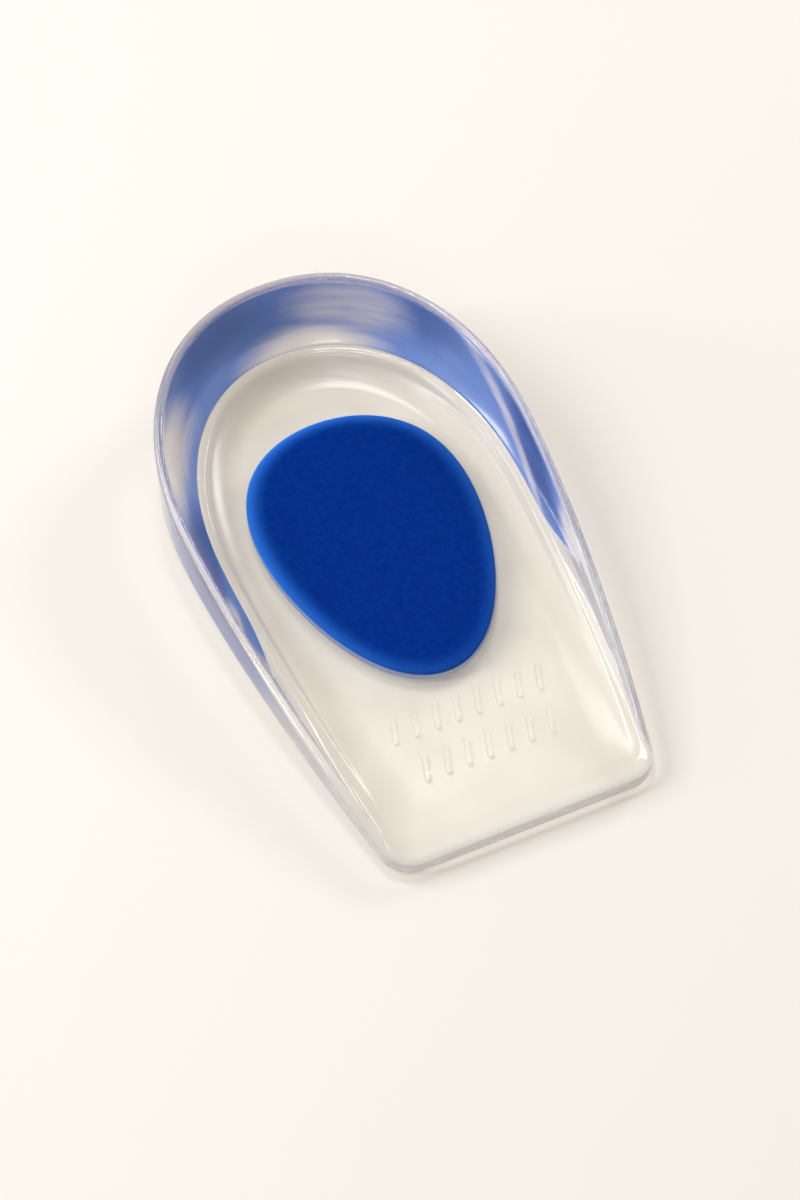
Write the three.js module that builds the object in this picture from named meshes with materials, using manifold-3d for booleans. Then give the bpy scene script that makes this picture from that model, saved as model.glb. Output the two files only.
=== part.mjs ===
// A gel heel cup for the inside of a shoe: a clear silicone cup, a blue gel lining on the inside of its
// wall, and a softer blue pad let into its floor under the heel bone.
// Millimetres, +Z up. The cup lies on its flat underside. +Y runs to the back of the heel, the straight
// front edge is at -Y, and X = 0 is the plane of symmetry. The origin is under the middle of its length.
import * as THREE from "three";
import { mergeVertices } from "three/addons/utils/BufferGeometryUtils.js";
import Module from "manifold-3d";

const wasm = await Module();
wasm.setup();

// Plan of the rim
const LENGTH = 112;
const RIM_WIDTH = 66;
const RIM_WIDEST_FROM_FRONT = 71;
const FRONT_WIDTH = 47.4;
const CORNER_RADIUS = 4.5;
const LEAST_CORNER_RADIUS = 0.9; // where a plan is drawn in by more than its corner radius
const SIDE_TAPER_POWER = 1.62; // 1 would be a straight taper from the widest place to the front corner
const HEEL_ROUNDNESS = 2.15; // 2 is an ellipse, and more is squarer

// How far the bed, the dished floor, keeps inside the rim's plan
const BED_SIDE_MARGIN = 5.4;
const BED_BACK_MARGIN = 8.6;
const BED_FRONT_MARGIN = 2.6;
const BED_CORNER_MARGIN = 1.3;
const BED_WIDEST_FROM_FRONT = 64;

// Heights
const HEEL_HEIGHT = 19.5;
const FRONT_THICKNESS = 3.8;
const HEEL_THICKNESS = 5;
const BED_DEPTH = 3.6; // from the bed's edge down to its floor, at the back
const RIM_CLIMB = 1.1; // 1 is a straight climb from the front edge to the back, and more bows it upwards
const BED_CLIMB = 2.9;

// Edges
const RIM_RADIUS = 0.9;
const HEEL_FOOT_RADIUS = 4.5;
const FRONT_FOOT_RADIUS = 1.3;
const WALL_BOW = 0.7; // how far the inside of the wall is hollowed between the rim and the bed
const CREASE_DEPTH = 0.3; // the fine groove between the wall and the bed's edge
const ROLL_HEIGHT = 0.45; // the soft roll that the bed's edge makes
const ROLL_WIDTH = 2.2;
const ROLL_CLIMB = 3;
const BED_SLOPE_WIDTH = 7.4; // plan width of the dished slope between the bed's edge and its flat floor

// The blue pad under the heel bone
const PAD_LENGTH = 57.4;
const PAD_WIDTH = 39;
const PAD_MIDDLE_FROM_FRONT = 60.6;
const PAD_EGG = 0.217; // how much wider it is at the back than at the front
const PAD_FULLNESS = 0.089;
const PAD_PROUD = 0.9;
const PAD_EDGE_RADIUS = 0.8;
const PAD_CROWN = 0.5;
const PAD_SEAT_DEPTH = 2.4;

// The blue lining on the wall
const LINING_THICKNESS = 0.9;
const LINING_TIP_THICKNESS = 0.35;
const LINING_TIP_FROM_FRONT = 38;
const LINING_TAPER_LENGTH = 17;
const LINING_TIP_SHARE = 0.68; // where the tip lies on the way from the crease to the rim
const LINING_TIP_WIDTH = 0.5;
const LINING_MARGIN = 0.6; // between the lining's edges and the crease and the rim's round

// Two rows of low ribs that are cast on the floor near the front edge
const RIB_LENGTH = 5.6;
const RIB_WIDTH = 1.2;
const RIB_HEIGHT = 0.4;
const RIB_PITCH = 3.8;
const RIB_LEAN = 0.3; // radians from the cup's length
const BACK_ROW_FROM_FRONT = 24.4;
const BACK_ROW_COUNT = 8;
const FRONT_ROW_FROM_FRONT = 15.8;
const FRONT_ROW_COUNT = 7;

const SEAT_CLEARANCE = 0.3;

// Steps round each half of an outline
const FRONT_STEPS = 3;
const CORNER_STEPS = 5;
const SIDE_STEPS = 14;
const HEEL_STEPS = 18;
const FOOT_STEPS = 4;
const RIM_STEPS = 5;
const WALL_STEPS = 3;
const ROLL_STEPS = 4;
const SLOPE_STEPS = 4;
const EGG_STEPS = 64;
const PAD_EDGE_STEPS = 4;
const PAD_CROWN_STEPS = 3;
const RIB_END_STEPS = 4;

const MERGE_DISTANCE = 1e-4;

const FRONT_Y = -LENGTH / 2;
const BACK_Y = LENGTH / 2;
const PAD_Y = FRONT_Y + PAD_MIDDLE_FROM_FRONT;

const lerp = THREE.MathUtils.lerp;
const clamp = THREE.MathUtils.clamp;
const smoothstep = THREE.MathUtils.smoothstep;

// Share of the way from the front edge to the back of the rim.
const alongShare = (y) => clamp((y - FRONT_Y) / LENGTH, 0, 1);
// Climbs from 0 at the front to 1 at the back, the sooner the higher the power.
const climb = (y, power) => 1 - (1 - alongShare(y)) ** power;

const floorHeight = (y) => lerp(FRONT_THICKNESS, HEEL_THICKNESS, alongShare(y));
const rimHeight = (y) => lerp(FRONT_THICKNESS, HEEL_HEIGHT, climb(y, RIM_CLIMB));
const bedEdgeHeight = (y) => floorHeight(y) + BED_DEPTH * climb(y, BED_CLIMB);
const footRadius = (y) => lerp(FRONT_FOOT_RADIUS, HEEL_FOOT_RADIUS, climb(y, BED_CLIMB));

const RIM_PLAN = {
  half: RIM_WIDTH / 2,
  frontHalf: FRONT_WIDTH / 2,
  front: FRONT_Y,
  back: BACK_Y,
  widest: FRONT_Y + RIM_WIDEST_FROM_FRONT,
  corner: CORNER_RADIUS,
};
const BED_PLAN = {
  half: RIM_PLAN.half - BED_SIDE_MARGIN,
  frontHalf: RIM_PLAN.frontHalf - BED_CORNER_MARGIN,
  front: FRONT_Y + BED_FRONT_MARGIN,
  back: BACK_Y - BED_BACK_MARGIN,
  widest: FRONT_Y + BED_WIDEST_FROM_FRONT,
  corner: Math.max(CORNER_RADIUS - BED_CORNER_MARGIN, LEAST_CORNER_RADIUS),
};

// The plan drawn in by a distance all round.
function drawnIn(plan, distance) {
  return {
    half: plan.half - distance,
    frontHalf: plan.frontHalf - distance,
    front: plan.front + distance,
    back: plan.back - distance,
    widest: plan.widest,
    corner: Math.max(plan.corner - distance, LEAST_CORNER_RADIUS),
  };
}

// Half width of a plan at y, in front of its widest place, before its corner is rounded.
function taperedHalf(plan, y) {
  const share = clamp((plan.widest - y) / (plan.widest - plan.front), 0, 1);
  return lerp(plan.half, plan.frontHalf, share ** SIDE_TAPER_POWER);
}

// Points once round a plan, from the middle of the front edge past +X, the heel and -X.
// The front is straight, the corners are arcs, the sides taper, and the heel is half a superellipse.
function outline(plan) {
  const right = [];
  const cornerStart = taperedHalf(plan, plan.front) - plan.corner;
  for (let i = 0; i < FRONT_STEPS; i++) {
    right.push([(cornerStart * i) / FRONT_STEPS, plan.front]);
  }
  for (let i = 0; i < CORNER_STEPS; i++) {
    const turn = ((i / CORNER_STEPS) * Math.PI) / 2;
    const y = plan.front + plan.corner * (1 - Math.cos(turn));
    right.push([taperedHalf(plan, y) - plan.corner * (1 - Math.sin(turn)), y]);
  }
  for (let i = 0; i < SIDE_STEPS; i++) {
    const y = lerp(plan.front + plan.corner, plan.widest, i / SIDE_STEPS);
    right.push([taperedHalf(plan, y), y]);
  }
  for (let i = 0; i <= HEEL_STEPS; i++) {
    const turn = ((i / HEEL_STEPS) * Math.PI) / 2;
    const across = Math.max(Math.cos(turn), 0) ** (2 / HEEL_ROUNDNESS);
    const along = Math.sin(turn) ** (2 / HEEL_ROUNDNESS);
    right.push([plan.half * across, lerp(plan.widest, plan.back, along)]);
  }
  const left = right.slice(1, -1).reverse();
  return [...right, ...left.map(([x, y]) => [-x, y])];
}

// One ring of points, from two plans of the same steps: a share between them, and a height.
function ring(inner, outer, shareOf, heightOf) {
  return inner.map(([x, y], i) => {
    const share = shareOf(i);
    const px = lerp(x, outer[i][0], share);
    const py = lerp(y, outer[i][1], share);
    return new THREE.Vector3(px, py, heightOf(py, i));
  });
}

// A closed body through rings of points, with a fan over the first ring and over the last.
// Rings turn anticlockwise seen from above and run from the underside over the outside to the top.
function loft(rings) {
  const count = rings[0].length;
  const points = rings.flat();
  const faces = [];
  for (let r = 0; r + 1 < rings.length; r++) {
    for (let i = 0; i < count; i++) {
      const next = (i + 1) % count;
      const [a, b] = [r * count + i, r * count + next];
      faces.push(a, b, b + count, a, b + count, a + count);
    }
  }
  const cap = (first, turned) => {
    const middle = new THREE.Vector3();
    for (let i = 0; i < count; i++) middle.addScaledVector(points[first + i], 1 / count);
    points.push(middle);
    for (let i = 0; i < count; i++) {
      const [a, b] = [first + i, first + ((i + 1) % count)];
      faces.push(...(turned ? [b, a] : [a, b]), points.length - 1);
    }
  };
  cap(0, true);
  cap((rings.length - 1) * count, false);
  return new THREE.BufferGeometry().setFromPoints(points).setIndex(faces);
}

// A closed geometry as a solid that can be cut and joined.
function solid(geometry) {
  const bare = geometry.clone();
  bare.deleteAttribute("normal");
  bare.deleteAttribute("uv");
  const merged = mergeVertices(bare, MERGE_DISTANCE);
  const made = new wasm.Mesh({
    numProp: 3,
    vertProperties: merged.attributes.position.array,
    triVerts: new Uint32Array(merged.index.array),
  });
  return new wasm.Manifold(made);
}

function geometryOf(manifold) {
  const mesh = manifold.getMesh();
  const geometry = new THREE.BufferGeometry();
  geometry.setAttribute("position", new THREE.BufferAttribute(mesh.vertProperties, 3));
  geometry.setIndex(new THREE.BufferAttribute(mesh.triVerts, 1));
  geometry.computeVertexNormals();
  return geometry;
}

const RIM_OUTSIDE = outline(RIM_PLAN);
const RIM_CREST = outline(drawnIn(RIM_PLAN, RIM_RADIUS));
const BED_EDGE = outline(BED_PLAN);
const BED_FLOOR = outline(drawnIn(BED_PLAN, BED_SLOPE_WIDTH));

// Angle of the wall's inside above the ground, at each step round the cup. It is 0 along the front edge.
const WALL_SLOPE = RIM_CREST.map(([x, y], i) => {
  const [bedX, bedY] = BED_EDGE[i];
  return Math.atan2(rimHeight(y) - bedEdgeHeight(bedY), Math.hypot(x - bedX, y - bedY));
});

// A point on the rounded rim: turn 0 is the outside, and a quarter turn is the crest.
function rimPoint(i, turn) {
  const share = Math.cos(turn);
  const x = lerp(RIM_CREST[i][0], RIM_OUTSIDE[i][0], share);
  const y = lerp(RIM_CREST[i][1], RIM_OUTSIDE[i][1], share);
  return new THREE.Vector3(x, y, rimHeight(y) - RIM_RADIUS * (1 - Math.sin(turn)));
}

// The height of the crease that runs round the bed's edge.
const creaseHeight = (y) => bedEdgeHeight(y) - CREASE_DEPTH * climb(y, ROLL_CLIMB);

// A point on the inside of the wall: share 0 is the crease round the bed, and 1 is the rim.
function wallPoint(i, share) {
  const top = rimPoint(i, Math.PI / 2 + WALL_SLOPE[i]);
  const low = new THREE.Vector3(...BED_EDGE[i], creaseHeight(BED_EDGE[i][1]));
  const point = low.lerp(top, share);
  const bow = WALL_BOW * 4 * share * (1 - share) * Math.sin(WALL_SLOPE[i]);
  return point.addScaledVector(wallInward(i), -bow);
}

// Shares of the wall's height at which its inside bends, from just over the crease to just under the rim.
function wallShares(i) {
  const margin = Math.min(LINING_MARGIN / wallPoint(i, 0).distanceTo(wallPoint(i, 1)), 1 / WALL_STEPS);
  return Array.from({ length: WALL_STEPS + 1 }, (_, k) => lerp(margin, 1 - margin, k / WALL_STEPS));
}

// Unit vector out of the inside of the wall, into the cup's hollow, across the wall's slope.
function wallInward(i) {
  const inward = new THREE.Vector3(BED_EDGE[i][0] - RIM_CREST[i][0], BED_EDGE[i][1] - RIM_CREST[i][1], 0);
  inward.normalize().multiplyScalar(Math.sin(WALL_SLOPE[i]));
  inward.z = Math.cos(WALL_SLOPE[i]);
  return inward;
}

function cupBody() {
  const rings = [];
  const footInside = outline(drawnIn(RIM_PLAN, HEEL_FOOT_RADIUS));
  for (let k = 0; k <= FOOT_STEPS; k++) {
    const turn = ((k / FOOT_STEPS) * Math.PI) / 2;
    const shareOf = (i) => 1 - (footRadius(RIM_OUTSIDE[i][1]) / HEEL_FOOT_RADIUS) * (1 - Math.sin(turn));
    rings.push(ring(footInside, RIM_OUTSIDE, shareOf, (y) => footRadius(y) * (1 - Math.cos(turn))));
  }
  for (let k = 0; k <= RIM_STEPS; k++) {
    rings.push(RIM_OUTSIDE.map((_, i) => rimPoint(i, (k / RIM_STEPS) * (Math.PI / 2 + WALL_SLOPE[i]))));
  }
  for (let k = WALL_STEPS; k >= 0; k--) {
    rings.push(RIM_OUTSIDE.map((_, i) => wallPoint(i, wallShares(i)[k])));
  }
  rings.push(RIM_OUTSIDE.map((_, i) => wallPoint(i, 0)));
  for (let k = 1; k <= ROLL_STEPS; k++) {
    const acrossRoll = k / ROLL_STEPS;
    const share = (acrossRoll * ROLL_WIDTH) / BED_SLOPE_WIDTH;
    const roll = ROLL_HEIGHT * Math.sin(acrossRoll * Math.PI) - CREASE_DEPTH * (1 - acrossRoll) ** 2;
    const heightOf = (y) => slopeHeight(y, share) + roll * climb(y, ROLL_CLIMB);
    rings.push(ring(BED_EDGE, BED_FLOOR, () => share, heightOf));
  }
  for (let k = 1; k <= SLOPE_STEPS; k++) {
    const share = lerp(ROLL_WIDTH / BED_SLOPE_WIDTH, 1, k / SLOPE_STEPS);
    rings.push(ring(BED_EDGE, BED_FLOOR, () => share, (y) => slopeHeight(y, share)));
  }
  return solid(loft(rings));
}

// Height of the dished slope at a share of its width, from the bed's edge to the flat floor.
function slopeHeight(y, share) {
  return lerp(bedEdgeHeight(y), floorHeight(y), 1 - (1 - share) ** 2);
}

// Egg-shaped ring round the pad's middle, grown by a distance, at a height above the floor.
function eggRing(grown, aboveFloor) {
  return Array.from({ length: EGG_STEPS }, (_, i) => {
    const turn = (i / EGG_STEPS) * 2 * Math.PI;
    const [across, along] = [Math.cos(turn), Math.sin(turn)];
    const x = (PAD_WIDTH / 2 + grown) * across * (1 + PAD_EGG * along + PAD_FULLNESS * along ** 2);
    const y = PAD_Y + (PAD_LENGTH / 2 + grown) * along;
    return new THREE.Vector3(x, y, floorHeight(y) + aboveFloor);
  });
}

function padBody() {
  const rings = [eggRing(-PAD_EDGE_RADIUS, -PAD_SEAT_DEPTH), eggRing(0, -PAD_SEAT_DEPTH)];
  for (let k = 0; k <= PAD_EDGE_STEPS; k++) {
    const turn = ((k / PAD_EDGE_STEPS) * Math.PI) / 2;
    const height = PAD_PROUD - PAD_EDGE_RADIUS * (1 - Math.sin(turn));
    rings.push(eggRing(-PAD_EDGE_RADIUS * (1 - Math.cos(turn)), height));
  }
  for (let k = 1; k < PAD_CROWN_STEPS; k++) {
    const share = k / PAD_CROWN_STEPS;
    const height = PAD_PROUD + PAD_CROWN * (1 - (1 - share) ** 2);
    rings.push(eggRing(-PAD_EDGE_RADIUS - (PAD_WIDTH / 2 - PAD_EDGE_RADIUS) * share, height));
  }
  return loft(rings);
}

// The hollow that the pad lies in, open at the top.
function padSeat() {
  const depth = -PAD_SEAT_DEPTH - SEAT_CLEARANCE;
  return solid(loft([eggRing(SEAT_CLEARANCE, depth), eggRing(SEAT_CLEARANCE, HEEL_HEIGHT)]));
}

// Index into the right half of the bed's edge, with a fraction, where the edge passes y.
function stationAt(y) {
  const next = BED_EDGE.findIndex((point) => point[1] > y);
  const [before, after] = [BED_EDGE[next - 1][1], BED_EDGE[next][1]];
  return next - 1 + (y - before) / (after - before);
}

// One section of the lining across the wall at a station: along its face, then back along its underside.
// It is grown all round by a distance, and stands out of the wall's face by another.
function liningSection(station, tipY, grown, standing) {
  const [low, high] = [Math.floor(station), Math.ceil(station)];
  const between = (of) => of(low).lerp(of(high), station - low);
  const y = lerp(BED_EDGE[low][1], BED_EDGE[high][1], station - low);
  const fullness = 1 - (1 - clamp((y - tipY) / LINING_TAPER_LENGTH, 0, 1)) ** 2;
  const depth = lerp(LINING_TIP_THICKNESS, LINING_THICKNESS, fullness) + grown;
  const inward = between(wallInward).normalize();
  const rise = between((i) => wallPoint(i, 1).sub(wallPoint(i, 0)));
  const tip = LINING_TIP_WIDTH / rise.length();
  rise.normalize();
  const face = Array.from({ length: WALL_STEPS + 1 }, (_, k) => {
    const across = k / WALL_STEPS;
    const tipShare = LINING_TIP_SHARE + (across - 0.5) * tip;
    const point = between((i) => wallPoint(i, lerp(tipShare, wallShares(i)[k], fullness)));
    return point.addScaledVector(rise, (2 * across - 1) * grown);
  });
  const front = face.map((p) => p.clone().addScaledVector(inward, standing));
  const back = face.map((p) => p.clone().addScaledVector(inward, -depth));
  return [...front, ...back.reverse()];
}

// The lining follows the inside of the wall round the heel, from one side's tip to the other's.
function liningBody(grown, standing) {
  const tipY = FRONT_Y + LINING_TIP_FROM_FRONT;
  const first = stationAt(tipY - grown);
  const last = BED_EDGE.length - first;
  const stations = [first];
  for (let i = Math.ceil(first + 0.2); i <= last - 0.2; i++) stations.push(i);
  stations.push(last);
  return loft(stations.map((station) => liningSection(station, tipY, grown, standing)));
}

// One low rib with round ends, lying on the floor.
function ribBody(x, fromFront) {
  const half = (RIB_LENGTH - RIB_WIDTH) / 2;
  const shape = new THREE.Shape();
  shape.absarc(0, half, RIB_WIDTH / 2, 0, Math.PI, false);
  shape.absarc(0, -half, RIB_WIDTH / 2, Math.PI, 2 * Math.PI, false);
  const y = FRONT_Y + fromFront;
  const rooted = FRONT_THICKNESS / 2;
  const geometry = new THREE.ExtrudeGeometry(shape, {
    depth: floorHeight(y) - rooted + RIB_HEIGHT / 2,
    curveSegments: RIB_END_STEPS,
    bevelThickness: RIB_HEIGHT / 2,
    bevelSize: RIB_HEIGHT / 2,
    bevelOffset: -RIB_HEIGHT / 2,
    bevelSegments: 1,
  });
  geometry.rotateZ(-RIB_LEAN);
  geometry.translate(x, y, rooted);
  return solid(geometry);
}

function ribRow(fromFront, count) {
  return Array.from({ length: count }, (_, i) => ribBody((i - (count - 1) / 2) * RIB_PITCH, fromFront));
}

function cup() {
  const pocket = solid(liningBody(SEAT_CLEARANCE, SEAT_CLEARANCE));
  let body = cupBody().subtract(padSeat()).subtract(pocket);
  const backRow = ribRow(BACK_ROW_FROM_FRONT, BACK_ROW_COUNT);
  const frontRow = ribRow(FRONT_ROW_FROM_FRONT, FRONT_ROW_COUNT);
  for (const rib of [...backRow, ...frontRow]) body = body.add(rib);
  return geometryOf(body);
}

function piece(name, geometry, material) {
  const mesh = new THREE.Mesh(geometry, new THREE.MeshStandardMaterial(material));
  mesh.name = name;
  return mesh;
}

const heelCup = new THREE.Group();
heelCup.add(
  piece("cup", cup(), { color: 0xe4ddcf, roughness: 0.12, metalness: 0, transparent: true, opacity: 0.45 }),
  piece("wall_lining", liningBody(0, 0), {
    color: 0x4468b4,
    roughness: 0.15,
    metalness: 0,
    transparent: true,
    opacity: 0.7,
  }),
  piece("heel_pad", padBody(), { color: 0x0a3596, roughness: 0.55, metalness: 0 }),
);

export default heelCup;
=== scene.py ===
"""A clear gel heel cup for a shoe, with a blue lining on its wall and a blue pad under the heel bone.

The cup's forms are worked out in millimetres from the same driving sizes as the solid model, and put into
the meshes in metres. +Y runs to the back of the heel, the straight front edge is at -Y, and +Z is up.
"""
import math

import bpy
import numpy as np
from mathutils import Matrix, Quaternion, Vector


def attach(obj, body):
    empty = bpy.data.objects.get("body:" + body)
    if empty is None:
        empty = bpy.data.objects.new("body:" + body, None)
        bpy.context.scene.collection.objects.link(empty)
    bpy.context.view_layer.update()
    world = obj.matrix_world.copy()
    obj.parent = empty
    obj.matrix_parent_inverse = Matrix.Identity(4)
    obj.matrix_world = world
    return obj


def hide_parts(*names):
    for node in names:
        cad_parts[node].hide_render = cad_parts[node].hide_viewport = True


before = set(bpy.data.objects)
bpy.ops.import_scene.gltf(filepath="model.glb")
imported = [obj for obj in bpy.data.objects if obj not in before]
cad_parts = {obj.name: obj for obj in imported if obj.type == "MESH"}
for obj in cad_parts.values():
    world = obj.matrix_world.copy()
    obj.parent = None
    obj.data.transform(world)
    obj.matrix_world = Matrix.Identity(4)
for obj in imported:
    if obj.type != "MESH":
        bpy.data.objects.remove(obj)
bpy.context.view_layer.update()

MM = 0.001

# Plan of the rim, in millimetres
LENGTH = 112.0
RIM_WIDTH = 66.0
RIM_WIDEST_FROM_FRONT = 71.0
FRONT_WIDTH = 47.4
CORNER_RADIUS = 4.5
LEAST_CORNER_RADIUS = 0.9
SIDE_TAPER_POWER = 1.62
HEEL_ROUNDNESS = 2.15

# The bed, the dished floor, inside the rim's plan
BED_SIDE_MARGIN = 5.4
BED_BACK_MARGIN = 8.6
BED_FRONT_MARGIN = 2.6
BED_CORNER_MARGIN = 1.3
BED_WIDEST_FROM_FRONT = 64.0
BED_SLOPE_WIDTH = 7.4

# Heights
HEEL_HEIGHT = 19.5
FRONT_THICKNESS = 3.8
HEEL_THICKNESS = 5.0
BED_DEPTH = 3.6
RIM_CLIMB = 1.1
BED_CLIMB = 2.9

# Edges
RIM_RADIUS = 0.9
HEEL_FOOT_RADIUS = 4.5
FRONT_FOOT_RADIUS = 1.3
WALL_BOW = 0.7
CREASE_DEPTH = 0.3
ROLL_HEIGHT = 0.45
ROLL_WIDTH = 2.2
ROLL_CLIMB = 3.0

# The pad
PAD_LENGTH = 57.4
PAD_WIDTH = 39.0
PAD_MIDDLE_FROM_FRONT = 60.6
PAD_EGG = 0.217
PAD_FULLNESS = 0.089
PAD_PROUD = 0.9
PAD_EDGE_RADIUS = 0.8
PAD_CROWN = 0.5
PAD_SEAT_DEPTH = 2.4
PAD_EDGE_WIDTH = 2.4
PAD_BOTTOM_ROUND = 0.1

# The painted highlight of brighter blue where the pad's edge turns over: its width, the angle from +X at
# which it is brightest, on the side the key light comes from, and its least share of that on the far side
EDGE_HIGHLIGHT_WIDTH = 3.5
EDGE_HIGHLIGHT_TURN = 1.9
EDGE_HIGHLIGHT_LEAST = 0.3

# The lining
LINING_THICKNESS = 0.9
LINING_TIP_THICKNESS = 0.35
LINING_TIP_FROM_FRONT = 38.0
LINING_TAPER_LENGTH = 17.0
LINING_TIP_SHARE = 0.68
LINING_TIP_WIDTH = 0.5
LINING_MARGIN = 0.35
LINING_MOST_MARGIN_SHARE = 0.3
LINING_EDGE_ROUND = 0.12
LINING_FACE_START = 0.01

# The ribs that are cast on the floor
RIB_LENGTH = 5.6
RIB_WIDTH = 1.2
RIB_HEIGHT = 0.4
RIB_PITCH = 3.8
RIB_LEAN = 0.3
RIB_FOOT = 1.2
RIB_EDGE = 0.75
BACK_ROW_FROM_FRONT = 24.4
BACK_ROW_COUNT = 8
FRONT_ROW_FROM_FRONT = 15.8
FRONT_ROW_COUNT = 7

# Painted blue on the clear gel outside the lining, standing in for the lining seen through the gel, as
# shares of that on the outside of the rim, and where it begins to grow from its share at the front. Being
# deepest on the rim's outside and least on its crest paints the rim's dark outer line and its pale line
SEEN_BLUE_AT_FOOT = 0.9
SEEN_BLUE_ON_CREST = 0.2
SEEN_BLUE_AT_FRONT = 0.3
SEEN_BLUE_START_FROM_FRONT = 30.0

# How fast the blue grows from the crest to the lining, full at one over this of the way between them
INNER_BLUE_RISE = 1.6

# How satin the flat floor is, as a share of the dished slope round it
FLOOR_SATIN = 0.6

# How far the blue pieces reach into the clear gel that they are cast into
BOND = 0.03

# Soft patches in the lining's colour: the pale ones are painted reflections and highlights, the deep ones
# are darker blue. They lie at a share of the way round the cup, from the middle of the front past the right
# side, and at a share of the way up the wall. Reach and height are their half sizes in the same shares, and
# lean moves them round by so much for each whole wall height. Fullness widens the middle of a patch before
# it falls off.
PATCH_FULLNESS = 1.35
PALE_REFLECTION_PATCHES = [
    {"round": 0.482, "up": 0.04, "reach": 0.066, "height": 0.45, "lean": 0.00, "strength": 1.0},
    {"round": 0.452, "up": 0.65, "reach": 0.052, "height": 0.55, "lean": 0.00, "strength": 0.5},
    {"round": 0.645, "up": 0.85, "reach": 0.056, "height": 0.82, "lean": 0.06, "strength": 1.0},
    {"round": 0.602, "up": 0.45, "reach": 0.030, "height": 0.45, "lean": 0.03, "strength": 0.25},
    {"round": 0.755, "up": 0.85, "reach": 0.015, "height": 0.55, "lean": 0.04, "strength": 0.9},
    {"round": 0.315, "up": 0.50, "reach": 0.020, "height": 0.75, "lean": 0.11, "strength": 0.45},
    {"round": 0.225, "up": 0.75, "reach": 0.024, "height": 0.45, "lean": 0.00, "strength": 0.8},
]
DEEP_PATCHES = [
    {"round": 0.702, "up": 0.55, "reach": 0.044, "height": 1.50, "lean": 0.06, "strength": 1.0},
    {"round": 0.285, "up": 0.70, "reach": 0.052, "height": 0.75, "lean": 0.05, "strength": 1.0},
    {"round": 0.550, "up": 0.75, "reach": 0.055, "height": 0.45, "lean": 0.00, "strength": 0.6},
    {"round": 0.395, "up": 0.75, "reach": 0.040, "height": 0.45, "lean": 0.00, "strength": 0.6},
]

# Steps round each half of an outline, and rings over the cup's profile
FRONT_STEPS = 64
CORNER_STEPS = 12
SIDE_STEPS = 110
HEEL_STEPS = 70
SIDE_CROWDING = 1.5
FOOT_RINGS = 8
RIM_RINGS = 14
POCKET_RINGS = 12
ROLL_RINGS = 12
SLOPE_RINGS = 14
FLOOR_RINGS = 98

# Shares of a stretch where rings lie that hold its shape between two edges
OUTSIDE_HOLDS = (0.08, 0.5, 0.92)
ABOVE_POCKET_HOLDS = (0.5, 0.95)
POCKET_SIDE_HOLDS = (0, 0.1, 0.9)
BELOW_POCKET_HOLDS = (0.1, 0.6, 0.95)
CREASE_HOLD = 0.02
SEAT_SIDE_HOLDS = (0.03, 0.5, 0.97, 1)
PAD_SIDE_HOLDS = (0.95, 0.5, 0.05)

# How many of the foot's rings, those next to the outside wall, count as upright
FOOT_UPRIGHT_RINGS = 2

# Among the inside rings, those that lie sunk in the lining's pocket, from its high edge to its low one
POCKET_START = len(ABOVE_POCKET_HOLDS) + 1
POCKET_LENGTH = POCKET_RINGS + 2 * (len(POCKET_SIDE_HOLDS) - 1)

# Among the bed's rings, how many lie between the crease and the flat floor
SLOPE_END = ROLL_RINGS + SLOPE_RINGS

# How far over the rim's round its crest lies
CREST_SHARE = 0.55

FRONT_Y = -LENGTH / 2
BACK_Y = LENGTH / 2
PAD_Y = FRONT_Y + PAD_MIDDLE_FROM_FRONT
LINING_TIP_Y = FRONT_Y + LINING_TIP_FROM_FRONT
QUARTER = math.pi / 2


def lerp(a, b, share):
    """The value a share of the way from a to b."""
    return a + (b - a) * share


def smooth(share):
    """0 below 0 and 1 above 1, with the cubic 3s^2 - 2s^3 between them."""
    s = np.clip(share, 0, 1)
    return s * s * (3 - 2 * s)


def along_share(y):
    """How far y lies along the cup, from 0 at the front edge to 1 at the back of the rim."""
    return np.clip((y - FRONT_Y) / LENGTH, 0, 1)


def climb(y, power):
    """1 - (1 - s)^power of the share s along the cup: 0 at the front, 1 at the back, soon near 1."""
    return 1 - (1 - along_share(y)) ** power


def floor_height(y):
    """The flat floor rises in a straight line from the front's thickness to the heel's."""
    return lerp(FRONT_THICKNESS, HEEL_THICKNESS, along_share(y))


def rim_height(y):
    """The rim climbs from the front's thickness to the heel's height."""
    return lerp(FRONT_THICKNESS, HEEL_HEIGHT, climb(y, RIM_CLIMB))


def bed_edge_height(y):
    """The bed's edge stands over the floor by its depth, times its climb."""
    return floor_height(y) + BED_DEPTH * climb(y, BED_CLIMB)


def foot_radius(y):
    """The radius of the lower outside edge grows towards the heel as the bed climbs."""
    return lerp(FRONT_FOOT_RADIUS, HEEL_FOOT_RADIUS, climb(y, BED_CLIMB))


RIM_PLAN = {
    "half": RIM_WIDTH / 2,
    "front_half": FRONT_WIDTH / 2,
    "front": FRONT_Y,
    "back": BACK_Y,
    "widest": FRONT_Y + RIM_WIDEST_FROM_FRONT,
    "corner": CORNER_RADIUS,
}
BED_PLAN = {
    "half": RIM_WIDTH / 2 - BED_SIDE_MARGIN,
    "front_half": FRONT_WIDTH / 2 - BED_CORNER_MARGIN,
    "front": FRONT_Y + BED_FRONT_MARGIN,
    "back": BACK_Y - BED_BACK_MARGIN,
    "widest": FRONT_Y + BED_WIDEST_FROM_FRONT,
    "corner": CORNER_RADIUS - BED_CORNER_MARGIN,
}


def drawn_in(plan, distance):
    """The plan with its sides, front and back moved inwards by a distance."""
    return {
        "half": plan["half"] - distance,
        "front_half": plan["front_half"] - distance,
        "front": plan["front"] + distance,
        "back": plan["back"] - distance,
        "widest": plan["widest"],
        "corner": max(plan["corner"] - distance, LEAST_CORNER_RADIUS),
    }


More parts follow.
